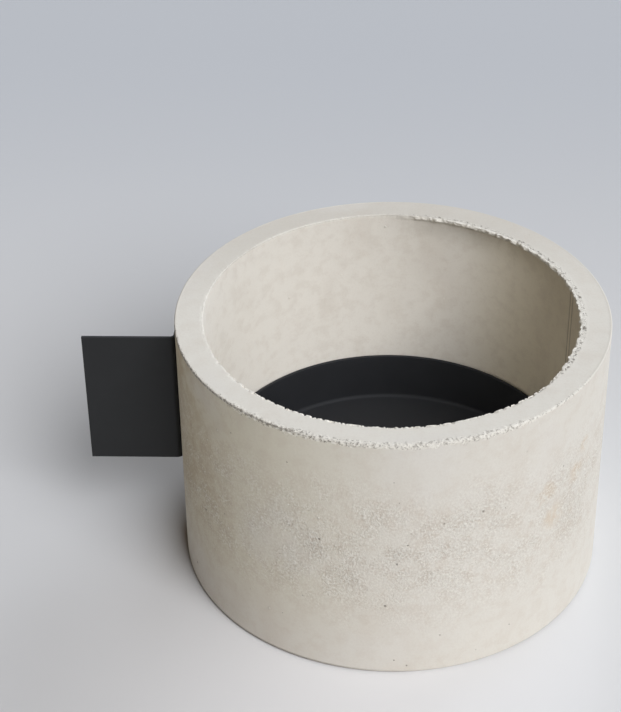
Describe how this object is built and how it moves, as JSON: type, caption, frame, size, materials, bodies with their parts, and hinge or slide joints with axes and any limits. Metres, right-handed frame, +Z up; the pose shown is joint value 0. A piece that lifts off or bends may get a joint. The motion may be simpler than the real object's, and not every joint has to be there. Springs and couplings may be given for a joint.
{
  "type": "low round planter",
  "caption": "Low round cast cement planter with a black lift-out tray inside and a plain black steel plate standing out from its side.",
  "frame": {"origin": "centre of the round base on the ground, which is the middle of the drain bung's lower face", "axes": "+Z up along the axis of the round shell; the side plate stands out along -X and its face looks towards -Y"},
  "size_m": [0.489, 0.3998, 0.261],
  "materials": {
    "cast_cement": "pale warm cast cement, matte, with fine pits and broken edges",
    "black_rubber": "matte black rubber",
    "black_tray": "satin black moulded plastic",
    "black_coated_steel": "fine matte black powder coat",
    "black_screw": "black oxide, satin",
    "brass_socket": "plain turned brass"
  },
  "bodies": {
    "planter": {"cast_shell": "cast_cement", "drain_bung": "black_rubber", "foot_pads": "black_rubber", "side_plate": "black_coated_steel", "plate_screws": "black_screw", "plate_washers": "black_screw", "wall_sockets": "brass_socket"},
    "tray": {"tray": "black_tray", "tray_spacers": "black_rubber"}
  },
  "joints": [
    {"name": "tray_lift", "type": "slide", "parent": "planter", "child": "tray", "axis": [0, 0, 1], "range_m": [0, 0.25]}
  ]
}
